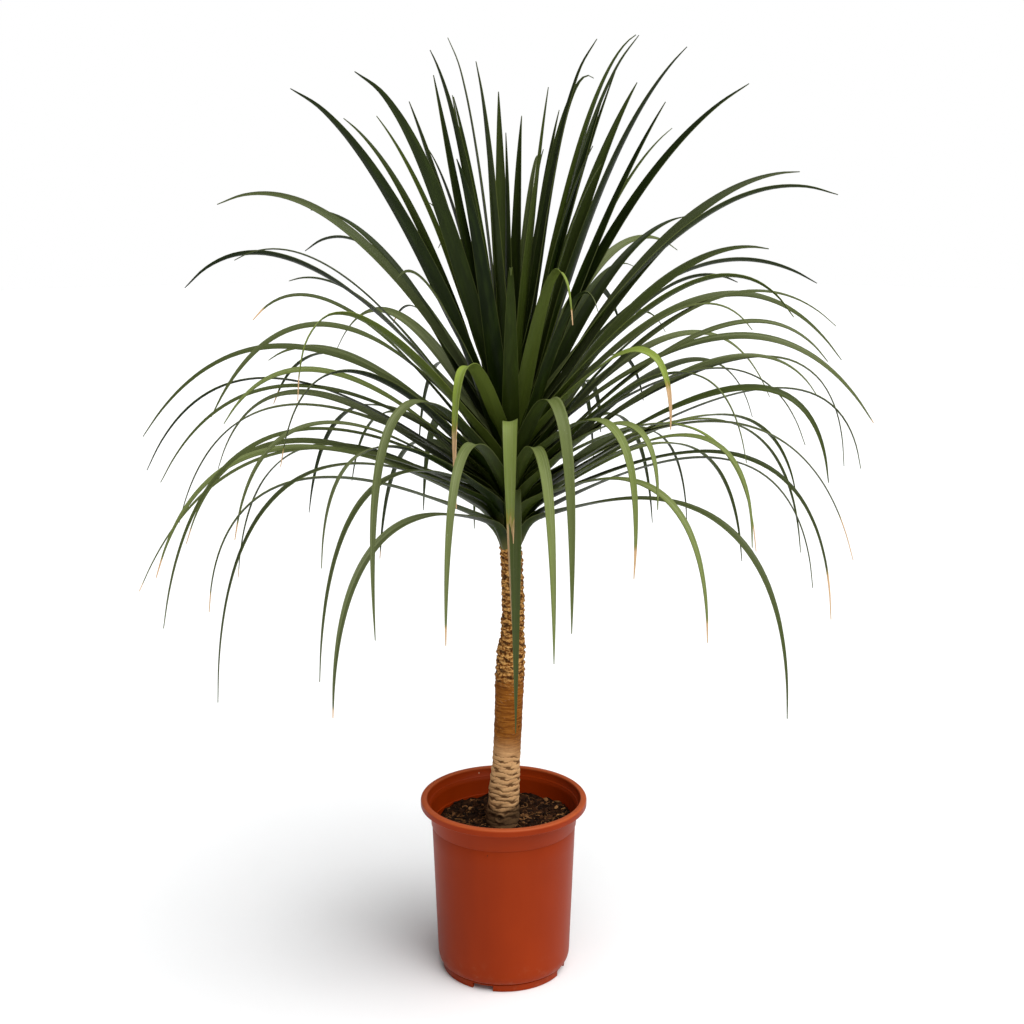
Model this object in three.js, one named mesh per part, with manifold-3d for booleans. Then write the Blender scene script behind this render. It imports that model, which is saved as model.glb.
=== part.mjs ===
// Potted dragon tree: one unbranched trunk with a rosette of long strap leaves, in a moulded nursery pot.
// Millimetres, +Z up. The origin is the centre of the pot's foot, on the surface that the pot stands on.
import * as THREE from "three";
import { mergeVertices } from "three/addons/utils/BufferGeometryUtils.js";
import Module from "manifold-3d";

const wasm = await Module();
wasm.setup();

// ---- Driving dimensions ------------------------------------------------------------------------

const GAP = 0.3; // left between pieces that touch

const POT = {
  height: 230,
  rimRadius: 105,
  rimInner: 97, // radius where the rim's top meets the inside
  rimDepth: 9.6, // height of the rolled rim
  rimShoulder: 3, // radius of the rounded outer edge on top of the rim
  collarRadius: 93, // outer wall just under the rim
  collarDepth: 34, // from the top of the rim down to the step under the collar
  collarStep: 1.1, // how far the collar's lower edge stands proud of the wall
  collarChamfer: 1.2, // height of the slope under the collar's lower edge
  wallTop: 90.8, // outer radius of the tapered wall under the collar's step
  wallFoot: 84.6, // and where it starts to round in towards the foot
  wallFootHeight: 25,
  footRadius: 78.5,
  footHeight: 10,
  footWidth: 5,
  wall: 1.9,
  floor: 2.4,
  sides: 60,
  notches: 4, // gaps in the foot ring that let water out
  notchWidth: 27,
  firstNotch: 250, // bearing
  drainHoles: 8,
  drainRadius: 5.5,
  drainRing: 56, // radius of the circle that the drain holes lie on
};

const SOIL = {
  top: 194, // mean level of the potting mix
  clearance: 0.8, // between the mix and the pot's wall
  chamfer: 5, // round the bottom edge of the lump
  socketDepth: 80, // how far the buried foot of the trunk reaches down into the mix
  sides: 40,
  rings: 6, // of facets across the surface
};

const TRUNK = {
  sides: 16,
  steps: 34,
  socketGap: 0.6,
  // height, radius, and how far the axis has drifted along +X
  stations: [
    [SOIL.top - SOIL.socketDepth, 17, -2],
    [165, 21, -2],
    [190, 21.5, -2],
    [206, 20.5, -1],
    [244, 18.8, 1],
    [290, 17, 4],
    [330, 17.4, 6],
    [400, 18, 8],
    [420, 17.2, 9],
    [448, 13.9, 11.5],
    [488, 13.5, 12],
    [540, 13, 10],
    [556, 13, 9],
    [580, 11.5, 9],
    [706, 5, 9],
  ],
};

const CROWN = {
  bottom: 556, // height of the lowest leaf's base on the trunk
  top: 700, // height of the youngest leaf's base
};

const LEAF = {
  segments: 14,
  halfWidth: 9.6, // of a full-grown blade at its widest
  thickness: 1.3, // at the midrib
  foldBase: 0.55, // how far the edges stand above the midrib, as a share of the half width
  foldTip: 0.28,
  tipWidth: 0.35, // half width of the blunt tip
  neckLength: 0.16, // share of the length over which the neck widens
  clasp: 0.85, // half width of the neck, as a share of the trunk's radius there
  standOff: 2.1, // from the trunk's surface to the middle of the blade's base
  sheath: 30, // how far a blade runs up the trunk before its elbow, and again from the elbow to its arch
  sheathLean: 14, // of the sheath from vertical, in degrees
};

// Leaves from the lowest and oldest to the youngest.
// bearing: compass direction seen from above, in degrees anticlockwise from +X.
// lean: degrees from vertical where the blade leaves the trunk.
// hang: how much of its reach a blade has made when it starts to arch over. At 1 the tip hangs straight down.
// reach, height: where the tip is, in millimetres out from the trunk and up from the floor.
const leaf = (bearing, lean, hang, reach, height) => ({ bearing, lean, hang, reach, height });
const LEAVES = [
  leaf(237, 68, 0.96, 350, 445),
  leaf(316, 66, 0.98, 410, 440),
  leaf(80, 66, 0.9, 330, 450),
  leaf(155, 63, 0.9, 400, 470),
  leaf(34, 64, 0.9, 380, 480),
  leaf(272, 44, 1, 150, 372),
  leaf(120, 65, 0.85, 370, 455),
  leaf(342, 60, 0.94, 390, 500),
  leaf(219, 60, 0.95, 410, 450),
  leaf(308, 63, 0.97, 340, 520),
  leaf(191, 60, 0.7, 445, 525),
  leaf(57, 60, 0.85, 370, 510),
  leaf(230, 60, 0.92, 325, 470),
  leaf(16, 60, 0.9, 390, 520),
  leaf(138, 58, 0.85, 370, 540),
  leaf(205, 57, 0.85, 430, 510),
  leaf(258, 54, 0.97, 330, 535),
  leaf(349, 58, 0.8, 410, 560),
  leaf(176, 57, 0.8, 410, 580),
  leaf(282, 48, 0.95, 225, 480),
  leaf(70, 54, 0.85, 345, 600),
  leaf(325, 56, 0.9, 330, 600),
  leaf(242, 48, 1.1, 310, 525),
  leaf(4, 54, 0.95, 410, 650),
  leaf(188, 53, 0.7, 415, 650),
  leaf(300, 53, 1.1, 265, 580),
  leaf(112, 52, 0.8, 340, 620),
  leaf(345, 50, 0.8, 350, 700),
  leaf(288, 40, 1.05, 215, 510),
  leaf(181, 47, 0.63, 440, 695),
  leaf(25, 46, 0.7, 370, 715),
  leaf(225, 42, 0.95, 320, 775),
  leaf(132, 42, 0.65, 350, 760),
  leaf(356, 47, 0.65, 430, 715),
  leaf(196, 39, 0.65, 355, 735),
  leaf(314, 44, 1, 250, 735),
  leaf(10, 40, 0.6, 415, 775),
  leaf(171, 39, 0.66, 400, 865),
  leaf(248, 36, 1.15, 165, 640),
  leaf(62, 38, 0.65, 320, 790),
  leaf(340, 38, 0.7, 335, 850),
  leaf(145, 33, 0.6, 320, 900),
  leaf(17, 36, 0.5, 400, 865),
  leaf(295, 20, 0.75, 160, 845),
  leaf(165, 31, 0.55, 370, 963),
  leaf(3, 32, 0.55, 385, 978),
  leaf(112, 28, 0.6, 250, 900),
  leaf(42, 28, 0.5, 290, 900),
  leaf(185, 22, 0.58, 250, 1098),
  leaf(350, 22, 0.48, 270, 1103),
  leaf(78, 18, 0.6, 190, 1020),
  leaf(206, 14, 0.5, 190, 1115),
  leaf(24, 12, 0.5, 165, 1160),
  leaf(250, 9, 0.5, 110, 1125),
  leaf(325, 8, 0.5, 115, 1150),
  leaf(130, 8, 0.5, 115, 1158),
];

// ---- Shared helpers ----------------------------------------------------------------------------

const radians = THREE.MathUtils.degToRad;
const UP = new THREE.Vector3(0, 0, 1);

/** The value in one column of a list of stations at a height, in proportion between the stations around it. */
function stationValue(stations, height, column) {
  const above = stations.findIndex((station) => station[0] >= height);
  if (above === 0) return stations[0][column];
  if (above < 0) return stations.at(-1)[column];
  const [a, b] = [stations[above - 1], stations[above]];
  return THREE.MathUtils.mapLinear(height, a[0], b[0], a[column], b[column]);
}

/** Moves every vertex of a geometry to where `place` puts it, and returns the geometry. */
function reshape(geometry, place) {
  const position = geometry.getAttribute("position");
  const point = new THREE.Vector3();
  for (let i = 0; i < position.count; i++) {
    point.fromBufferAttribute(position, i);
    place(point);
    position.setXYZ(i, point.x, point.y, point.z);
  }
  return geometry;
}

/** A closed geometry as a manifold-3d solid. */
function solid(geometry) {
  const bare = geometry.clone();
  for (const name of ["normal", "uv"]) bare.deleteAttribute(name);
  const merged = mergeVertices(bare, 1e-3);
  return new wasm.Manifold(
    new wasm.Mesh({
      numProp: 3,
      vertProperties: merged.getAttribute("position").array,
      triVerts: new Uint32Array(merged.index.array),
    }),
  );
}

/** A manifold-3d solid as a geometry. */
function geometryOf(made) {
  const mesh = made.getMesh();
  const geometry = new THREE.BufferGeometry();
  geometry.setAttribute("position", new THREE.BufferAttribute(mesh.vertProperties, 3));
  geometry.setIndex(new THREE.BufferAttribute(mesh.triVerts, 1));
  geometry.computeVertexNormals();
  return geometry;
}

/** A solid of revolution about Z from [radius, height] pairs, listed so that the solid lies to their left. */
function turned(profile, sides) {
  const points = profile.map(([radius, height]) => new THREE.Vector2(radius, height));
  const lathe = new THREE.LatheGeometry(points, sides);
  return lathe.rotateX(Math.PI / 2);
}

/** A named mesh. */
function piece(name, geometry, material) {
  const mesh = new THREE.Mesh(geometry, material);
  mesh.name = name;
  return mesh;
}

// ---- Materials ---------------------------------------------------------------------------------

const terracottaPlastic = new THREE.MeshStandardMaterial({ color: 0xa8400c, roughness: 0.45, metalness: 0 });
const pottingMix = new THREE.MeshStandardMaterial({ color: 0x2a1a10, roughness: 1, metalness: 0 });
const ringedBark = new THREE.MeshStandardMaterial({ color: 0xa8713c, roughness: 0.9, metalness: 0 });
const leafGreen = new THREE.MeshStandardMaterial({ color: 0x2f4716, roughness: 0.45, metalness: 0 });

// ---- Pot ---------------------------------------------------------------------------------------

const COLLAR_FOOT = POT.height - POT.collarDepth;

/** Outer radius of the pot below its collar, at a height: straight taper, then a round turn in to the foot. */
function wallRadius(height) {
  const { wallTop, wallFoot, wallFootHeight, footRadius, footHeight } = POT;
  if (height >= wallFootHeight) {
    return THREE.MathUtils.mapLinear(height, wallFootHeight, COLLAR_FOOT, wallFoot, wallTop);
  }
  const drop = Math.min(1, (wallFootHeight - height) / (wallFootHeight - footHeight));
  return footRadius + (wallFoot - footRadius) * Math.sqrt(1 - drop * drop);
}

/** Points [radius, height] of the pot's wall between two heights, `inset` inside its outer face. */
function wallPoints(from, to, steps, inset) {
  return Array.from({ length: steps + 1 }, (_, i) => {
    const height = THREE.MathUtils.lerp(from, to, i / steps);
    return [wallRadius(height) - inset, height];
  });
}

function pot() {
  const { height, wall, footHeight, footRadius, footWidth, floor, rimShoulder } = POT;
  const rimFoot = height - POT.rimDepth;
  const rim = [0, 30, 60, 90].map((turn) => [
    POT.rimRadius + rimShoulder * (Math.cos(radians(turn)) - 1),
    height + rimShoulder * (Math.sin(radians(turn)) - 1),
  ]);
  const stepFoot = COLLAR_FOOT - POT.collarChamfer;
  const outline = [
    [0, footHeight - floor],
    [footRadius - footWidth, footHeight - floor],
    [footRadius - footWidth, 0],
    [footRadius, 0],
    ...wallPoints(footHeight, POT.wallFootHeight, 4, 0),
    [wallRadius(stepFoot), stepFoot],
    [wallRadius(COLLAR_FOOT) + POT.collarStep, COLLAR_FOOT],
    [POT.collarRadius, rimFoot],
    [POT.rimRadius - 0.8, rimFoot],
    ...rim,
    [POT.rimInner + 1, height],
    [POT.rimInner, height - 1],
    [POT.collarRadius - wall, rimFoot - 4],
    ...wallPoints(POT.wallFootHeight, COLLAR_FOOT, 1, wall).reverse(),
    [footRadius - wall + 1, footHeight + 4],
    [footRadius - wall - 3, footHeight],
    [0, footHeight],
  ];
  let shell = solid(turned(outline, POT.sides));
  const notchTop = footHeight - floor;
  for (let i = 0; i < POT.notches; i++) {
    const cut = new THREE.BoxGeometry(footWidth * 4, POT.notchWidth, notchTop * 2);
    cut.translate(footRadius, 0, 0);
    cut.rotateZ(radians(POT.firstNotch + (i * 360) / POT.notches));
    shell = shell.subtract(solid(cut));
  }
  for (let i = 0; i < POT.drainHoles; i++) {
    const drill = new THREE.CylinderGeometry(POT.drainRadius, POT.drainRadius, floor * 4, 12);
    drill.rotateX(Math.PI / 2);
    drill.translate(POT.drainRing, 0, footHeight);
    drill.rotateZ(radians(POT.firstNotch + ((i + 0.5) * 360) / POT.drainHoles));
    shell = shell.subtract(solid(drill));
  }
  return piece("pot", geometryOf(shell), terracottaPlastic);
}

// ---- Trunk -------------------------------------------------------------------------------------

const trunkRadius = (height) => stationValue(TRUNK.stations, height, 1);
const trunkDrift = (height) => stationValue(TRUNK.stations, height, 2);

/** The trunk's form, or one larger by `extra` all round and below, which makes its socket in the potting mix. */
function trunkForm(extra = 0) {
  const bottom = TRUNK.stations[0][0];
  const top = TRUNK.stations.at(-1)[0];
  const bar = new THREE.CylinderGeometry(1, 1, 1, TRUNK.sides, TRUNK.steps);
  bar.rotateX(Math.PI / 2);
  return reshape(bar, (p) => {
    const height = THREE.MathUtils.lerp(bottom, top, p.z + 0.5);
    const radius = trunkRadius(height) + extra;
    p.set(p.x * radius + trunkDrift(height), p.y * radius, height === bottom ? bottom - extra : height);
  });
}

const trunk = () => piece("trunk", trunkForm(), ringedBark);

// ---- Potting mix -------------------------------------------------------------------------------

/** Height of the uneven surface of the mix, which is lowest at the left front and heaped at the right back. */
function soilTop(x, y) {
  const slope = 0.035 * x + 0.03 * y;
  const lumps = 2.2 * Math.sin(x / 17) * Math.cos(y / 14) + 1.6 * Math.sin((x + 2 * y) / 11);
  return SOIL.top + slope + lumps;
}

function pottingMixPlug() {
  const bottom = POT.footHeight + GAP;
  const inset = POT.wall + SOIL.clearance;
  const outline = [
    [0, bottom],
    [POT.footRadius - inset - SOIL.chamfer, bottom],
    [POT.footRadius - inset, bottom + SOIL.chamfer],
    [wallRadius(POT.wallFootHeight) - inset, POT.wallFootHeight],
  ];
  for (let ring = SOIL.rings; ring >= 0; ring--) {
    outline.push([((wallRadius(SOIL.top) - inset) * ring) / SOIL.rings, SOIL.top]);
  }
  const plug = reshape(turned(outline, SOIL.sides), (p) => {
    if (p.z > SOIL.top - 1) p.z = soilTop(p.x, p.y);
  });
  const mix = solid(plug).subtract(solid(trunkForm(TRUNK.socketGap)));
  return piece("potting_mix", geometryOf(mix), pottingMix);
}

// ---- Leaves ------------------------------------------------------------------------------------

/** Half width of a blade at a share `t` of its length: a neck at the trunk, then one long taper to a sharp tip. */
function halfWidth(t, neck) {
  const spread = THREE.MathUtils.lerp(neck, 1, THREE.MathUtils.smoothstep(t, 0, LEAF.neckLength));
  const taper = 1 - 0.5 * t;
  const point = Math.pow(1 - Math.pow(t, 3.2), 0.85);
  return LEAF.halfWidth * spread * taper * point + LEAF.tipWidth;
}

/** The line of a blade's midrib: a sheath that rises close to the trunk, an elbow, then the long arch to the tip. */
function midribOf(row, baseHeight) {
  const slant = (angle) => new THREE.Vector3(Math.sin(radians(angle)), 0, Math.cos(radians(angle)));
  const base = new THREE.Vector3(trunkRadius(baseHeight) + LEAF.standOff, 0, baseHeight);
  const sheathLean = Math.min(row.lean, LEAF.sheathLean);
  const elbow = base.clone().addScaledVector(slant(sheathLean), LEAF.sheath);
  const shoulder = elbow.clone().addScaledVector(slant(row.lean), LEAF.sheath);
  const run = row.hang * (row.reach - shoulder.x);
  const crest = shoulder.clone().addScaledVector(slant(row.lean), run / Math.sin(radians(row.lean)));
  const tip = new THREE.Vector3(row.reach, 0, row.height);
  for (const point of [base, elbow, shoulder, crest, tip]) {
    point.applyAxisAngle(UP, radians(row.bearing));
    point.x += trunkDrift(baseHeight);
  }
  const line = new THREE.CurvePath();
  line.add(new THREE.QuadraticBezierCurve3(base, elbow, shoulder));
  line.add(new THREE.QuadraticBezierCurve3(shoulder, crest, tip));
  return line;
}

/** One strap leaf of shallow V section: a four-sided bar whose corners become the blade's edges and midrib. */
function blade(row, baseHeight) {
  const line = midribOf(row, baseHeight);
  const neck = Math.min(1, (trunkRadius(baseHeight) * LEAF.clasp) / LEAF.halfWidth);
  const level = new THREE.Vector3(0, 1, 0).applyAxisAngle(UP, radians(row.bearing));
  const bar = new THREE.CylinderGeometry(1, 1, 1, 4, LEAF.segments);
  return reshape(bar, (p) => {
    const t = 0.5 - p.y;
    const edge = p.x; // 1 or -1 at the blade's edges, 0 on the midrib
    const side = p.z; // 1 on the upper side of the midrib, -1 on the underside
    const tangent = line.getTangentAt(t);
    const across = level.clone().addScaledVector(tangent, -level.dot(tangent)).normalize();
    const normal = tangent.clone().cross(across);
    const half = halfWidth(t, neck);
    const fold = half * THREE.MathUtils.lerp(LEAF.foldBase, LEAF.foldTip, Math.min(1, t * 3));
    const thick = (LEAF.thickness * (1 - 0.5 * t)) / 2;
    p.copy(line.getPointAt(t))
      .addScaledVector(across, edge * half)
      .addScaledVector(normal, Math.abs(edge) * fold + side * thick);
  });
}

function leaves() {
  const last = LEAVES.length - 1;
  return LEAVES.map((row, i) => {
    const baseHeight = THREE.MathUtils.lerp(CROWN.bottom, CROWN.top, i / last);
    const name = `leaf_${String(i + 1).padStart(2, "0")}`;
    return piece(name, blade(row, baseHeight), leafGreen);
  });
}

// ---- The whole plant ---------------------------------------------------------------------------

const plant = new THREE.Group();
plant.add(pot(), pottingMixPlug(), trunk(), ...leaves());

export default plant;
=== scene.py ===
"""Potted dragon tree: a moulded nursery pot, potting mix, one ringed trunk and a rosette of strap leaves.

Metres, +Z up, origin at the centre of the pot's foot. Sizes written in millimetres are multiplied by MM.
"""

import math
import random

import bmesh
import bpy
import numpy as np
from mathutils import Matrix, Vector, noise


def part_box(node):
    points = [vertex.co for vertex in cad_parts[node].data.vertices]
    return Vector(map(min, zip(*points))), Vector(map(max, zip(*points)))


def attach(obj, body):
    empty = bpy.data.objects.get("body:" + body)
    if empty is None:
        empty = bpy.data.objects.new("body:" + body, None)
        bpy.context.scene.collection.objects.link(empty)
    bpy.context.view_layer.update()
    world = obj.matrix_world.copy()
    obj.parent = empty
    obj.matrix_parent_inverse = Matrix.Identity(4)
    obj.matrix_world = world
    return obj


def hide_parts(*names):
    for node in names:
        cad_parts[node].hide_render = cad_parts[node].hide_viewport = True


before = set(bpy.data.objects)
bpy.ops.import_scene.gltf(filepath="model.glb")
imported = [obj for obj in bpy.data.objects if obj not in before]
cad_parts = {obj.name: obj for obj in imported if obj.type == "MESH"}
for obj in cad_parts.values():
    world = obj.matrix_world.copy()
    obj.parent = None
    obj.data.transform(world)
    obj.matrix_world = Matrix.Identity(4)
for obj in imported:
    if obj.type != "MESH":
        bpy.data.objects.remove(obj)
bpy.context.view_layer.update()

MM = 0.001
TAU = 2 * math.pi
UP = Vector((0, 0, 1))


def smoothstep(value, low, high):
    share = min(1, max(0, (value - low) / (high - low)))
    return share * share * (3 - 2 * share)


# ---- Camera, light and floor -------------------------------------------------------------------

CAMERA = {"distance": 1.95, "height": 1.068, "pitch": 13.5, "yaw": -0.31, "lens": 58.05}


def add_camera():
    data = bpy.data.cameras.new("camera")
    data.lens = CAMERA["lens"]
    data.sensor_width = 36
    camera = bpy.data.objects.new("camera", data)
    camera.location = (0, -CAMERA["distance"], CAMERA["height"])
    camera.rotation_euler = (math.radians(90 - CAMERA["pitch"]), 0, math.radians(CAMERA["yaw"]))
    bpy.context.collection.objects.link(camera)
    bpy.context.scene.camera = camera


def add_sun(name, strength, spread, tilt, bearing, colour=(1, 1, 1)):
    """A broad even light. tilt is from overhead, bearing is the side it comes from, both in degrees."""
    data = bpy.data.lights.new(name, "SUN")
    data.energy = strength
    data.angle = math.radians(spread)
    data.color = colour
    sun = bpy.data.objects.new(name, data)
    sun.rotation_euler = (math.radians(tilt), 0, math.radians(bearing + 90))
    bpy.context.collection.objects.link(sun)


def add_room():
    """Soft studio light and a plain pale floor."""
    add_sun("key_light", 3.7, 60, 24, 318)
    add_sun("front_light", 0.6, 60, 64, 290)
    world = bpy.data.worlds.new("studio")
    world.use_nodes = True
    nodes, links = world.node_tree.nodes, world.node_tree.links
    backdrop = nodes["Background"]
    backdrop.inputs["Color"].default_value = (1, 1, 1, 1)
    soft = nodes.new("ShaderNodeBackground")
    soft.inputs["Color"].default_value = (0.95, 0.98, 1, 1)
    soft.inputs["Strength"].default_value = 0.2
    seen = nodes.new("ShaderNodeLightPath")
    mix = nodes.new("ShaderNodeMixShader")
    links.new(seen.outputs["Is Camera Ray"], mix.inputs[0])
    links.new(soft.outputs[0], mix.inputs[1])
    links.new(backdrop.outputs[0], mix.inputs[2])
    links.new(mix.outputs[0], nodes["World Output"].inputs["Surface"])
    bpy.context.scene.world = world
    bm = bmesh.new()
    bmesh.ops.create_circle(bm, cap_ends=True, segments=96, radius=9)
    mesh = bpy.data.meshes.new("floor")
    bm.to_mesh(mesh)
    bm.free()
    floor = bpy.data.objects.new("floor", mesh)
    bpy.context.collection.objects.link(floor)
    paint = Shader("pale_floor")
    paint.set("Base Color", (0.93, 0.93, 0.93, 1))
    paint.set("Roughness", 0.8)
    mesh.materials.append(paint.material)


# ---- Shader maths ------------------------------------------------------------------------------


class Link:
    """An output socket that carries a number, so that shader maths is written as Python expressions."""

    def __init__(self, shader, socket):
        self.shader = shader
        self.socket = socket

    def maths(self, operation, *terms):
        sockets = dict(enumerate(terms))
        return self.shader.add("ShaderNodeMath", {"operation": operation}, sockets)

    def __add__(self, other):
        return self.maths("ADD", self, other)

    def __sub__(self, other):
        return self.maths("SUBTRACT", self, other)

    def __rsub__(self, other):
        return self.maths("SUBTRACT", other, self)

    def __mul__(self, other):
        return self.maths("MULTIPLY", self, other)

    def __abs__(self):
        return self.maths("ABSOLUTE", self)

    __radd__ = __add__
    __rmul__ = __mul__


class Shader:
    """A material, with one method that adds any node and a few that name the common ones."""

    def __init__(self, name):
        self.material = bpy.data.materials.new(name)
        self.material.use_nodes = True
        self.tree = self.material.node_tree
        self.surface = self.tree.nodes["Principled BSDF"]

    def add(self, kind, settings=None, sockets=None, output=0):
        node = self.tree.nodes.new(kind)
        for key, value in (settings or {}).items():
            setattr(node, key, value)
        for key, value in (sockets or {}).items():
            self.plug(node.inputs[key], value)
        return Link(self, node.outputs[output])

    def plug(self, socket, value):
        if isinstance(value, Link):
            self.tree.links.new(value.socket, socket)
        else:
            socket.default_value = value

    def set(self, name, value):
        self.plug(self.surface.inputs[name], value)

    def place(self):
        return self.add("ShaderNodeTexCoord", output="Object")

    def stored(self, name, output="Fac"):
        return self.add("ShaderNodeAttribute", {"attribute_name": name}, output=output)

    def axis(self, vector, name):
        return self.add("ShaderNodeSeparateXYZ", {}, {0: vector}, name)

    def stretch(self, vector, scale):
        return self.add("ShaderNodeVectorMath", {"operation": "MULTIPLY"}, {0: vector, 1: scale})

    def noise(self, vector, scale, detail=2.0, roughness=0.5):
        sockets = {"Vector": vector, "Scale": scale, "Detail": detail, "Roughness": roughness}
        return self.add("ShaderNodeTexNoise", {}, sockets)

    def between(self, value, low, high):
        """0 where value is at low or beyond, 1 where it is at high, smooth between."""
        sockets = {"Value": value, "From Min": low, "From Max": high}
        return self.add("ShaderNodeMapRange", {"interpolation_type": "SMOOTHSTEP"}, sockets)

    def blend(self, factor, first, second):
        """A colour part way from first to second."""
        settings = {"data_type": "RGBA", "clamp_factor": True}
        # Sockets 6, 7 and output 2 of a Mix node are its colours.
        return self.add("ShaderNodeMix", settings, {0: factor, 6: first, 7: second}, 2)

    def bump(self, height, distance, strength=1.0, under=None):
        sockets = {"Height": height, "Distance": distance, "Strength": strength}
        if under is not None:
            sockets["Normal"] = under
        return self.add("ShaderNodeBump", {}, sockets)


def rgb(red, green, blue):
    return (red, green, blue, 1)


# ---- Materials ---------------------------------------------------------------------------------


def terracotta_plastic():
    """Satin moulded plastic: faint vertical flow streaks, dust near the foot, pale scuffs and a painted
    highlight along the rim.
    """
    s = Shader("terracotta_plastic")
    place = s.place()
    height = s.axis(place, "Z")
    streaks = s.noise(s.stretch(place, (1, 1, 0.12)), 34, 3)
    cloud = s.noise(place, 9, 3)
    colour = s.blend(streaks, rgb(0.215, 0.0185, 0.0002), rgb(0.28, 0.0275, 0.0004))
    colour = s.blend(s.between(cloud, 0.35, 0.8) * 0.4, colour, rgb(0.35, 0.036, 0.0015))
    dust = s.between(s.noise(place, 60, 5, 0.7), 0.5, 0.8) * s.between(height, 0.05, 0.004)
    colour = s.blend(dust * 0.35, colour, rgb(0.36, 0.2, 0.12))
    # Painted highlight: the top three millimetres of the rim are blended towards a pale orange.
    painted_rim_highlight = s.between(height, POT["height"] - 3.2 * MM, POT["height"] - 0.4 * MM)
    colour = s.blend(painted_rim_highlight * 0.5, colour, rgb(0.62, 0.15, 0.05))
    scuffs = s.between(s.noise(s.stretch(place, (1, 1, 0.6)), 95, 2), 0.79, 0.82)
    colour = s.blend(scuffs * 0.85, colour, rgb(0.75, 0.45, 0.3))
    s.set("Base Color", colour)
    s.set("Roughness", 0.36 + streaks * 0.12 + scuffs * 0.3)
    grain = s.noise(place, 900, 2)
    s.set("Normal", s.bump(grain, 0.00005, 0.6, s.bump(streaks, 0.0004, 0.5)))
    s.set("Specular IOR Level", 0.1)
    return s.material


def damp_peat():
    """Dark crumbly peat with brown fibrous patches and pale mineral grains."""
    s = Shader("damp_peat")
    place = s.place()
    crumbs = s.noise(place, 260, 6, 0.7)
    patches = s.noise(place, 38, 3)
    colour = s.blend(s.between(crumbs, 0.35, 0.7), rgb(0.004, 0.0015, 0.0006), rgb(0.032, 0.011, 0.004))
    colour = s.blend(s.between(patches, 0.5, 0.7) * 0.6, colour, rgb(0.075, 0.032, 0.013))
    grains = s.between(s.noise(place, 520, 1), 0.72, 0.76)
    colour = s.blend(grains * 0.8, colour, rgb(0.3, 0.2, 0.12))
    s.set("Base Color", colour)
    s.set("Roughness", 0.95 - s.between(patches, 0.3, 0.6) * 0.15)
    s.set("Normal", s.bump(crumbs, 0.0016))
    s.set("Specular IOR Level", 0.08)
    return s.material


def bark_and_coir():
    """Loose bark bits and coir fibres, each with its own stored tint from black-brown to straw."""
    s = Shader("bark_and_coir")
    tint = s.stored("tint")
    mottle = s.noise(s.place(), 420, 4)
    dark = s.blend(tint * 1.6, rgb(0.006, 0.0024, 0.001), rgb(0.075, 0.026, 0.008))
    colour = s.blend(s.between(tint, 0.62, 1), dark, rgb(0.42, 0.2, 0.07))
    colour = s.blend(mottle * 0.5, colour, rgb(0.03, 0.013, 0.006))
    s.set("Base Color", colour)
    s.set("Roughness", 0.75 + mottle * 0.2)
    s.set("Specular IOR Level", 0.12)
    s.set("Normal", s.bump(mottle, 0.0004))
    return s.material


def ringed_bark():
    """Dry trunk: pale leaf scars low down, smoother orange-brown bark above, then dark scaly remains; the
    creases and knot hollows are darkened with painted shade.
    """
    s = Shader("ringed_bark")
    place = s.place()
    height = s.axis(place, "Z")
    crease = s.stored("crease")
    knot_shade = s.stored("knot_shade")
    drift = (s.noise(place, 30, 3) - 0.5) * 0.03
    lines = s.noise(s.stretch(place, (1, 1, 9)), 55, 4, 0.6)
    fleck = s.noise(s.stretch(place, (1, 1, 1.7)), 230, 4, 0.65)
    level = height + drift
    scars = s.blend(lines, rgb(0.42, 0.19, 0.065), rgb(0.8, 0.5, 0.24))
    smooth = s.blend(s.between(lines, 0.3, 0.7), rgb(0.13, 0.034, 0.002), rgb(0.33, 0.115, 0.014))
    scales = s.blend(s.between(fleck, 0.4, 0.62), rgb(0.16, 0.046, 0.005), rgb(0.72, 0.38, 0.11))
    colour = s.blend(s.between(level, PALE_TOP - 5 * MM, PALE_TOP + 33 * MM), scars, smooth)
    colour = s.blend(s.between(level, SCALES_FROM + 10 * MM, SCALES_FROM + 40 * MM), colour, scales)
    colour = s.blend(s.between(fleck, 0.6, 0.75) * 0.45, colour, rgb(0.6, 0.38, 0.18))
    # Painted shade: the creases between leaf scars are darkened towards dark brown, darker still above the
    # pale zone.
    browner = s.between(level, PALE_TOP - 5 * MM, PALE_TOP + 25 * MM)
    shade = s.blend(browner, rgb(0.085, 0.034, 0.011), rgb(0.045, 0.014, 0.003))
    colour = s.blend(s.between(crease, 0.45, 1) * 0.88, colour, shade)
    stained = s.between(level, STAIN_TOP + 12 * MM, STAIN_TOP)
    colour = s.blend(stained * (0.7 + lines * 0.3), colour, rgb(0.03, 0.013, 0.005))
    # Painted shade: the knot hollows are painted near black.
    colour = s.blend(knot_shade, colour, rgb(0.012, 0.006, 0.003))
    s.set("Base Color", colour)
    s.set("Roughness", 0.9 - s.between(fleck, 0.5, 0.7) * 0.25)
    fibres = s.noise(s.stretch(place, (1, 1, 0.4)), 900, 3)
    s.set("Normal", s.bump(fibres, 0.00025, 0.7, s.bump(lines, 0.0005, 0.8)))
    s.set("Specular IOR Level", 0.12)
    return s.material


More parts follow.
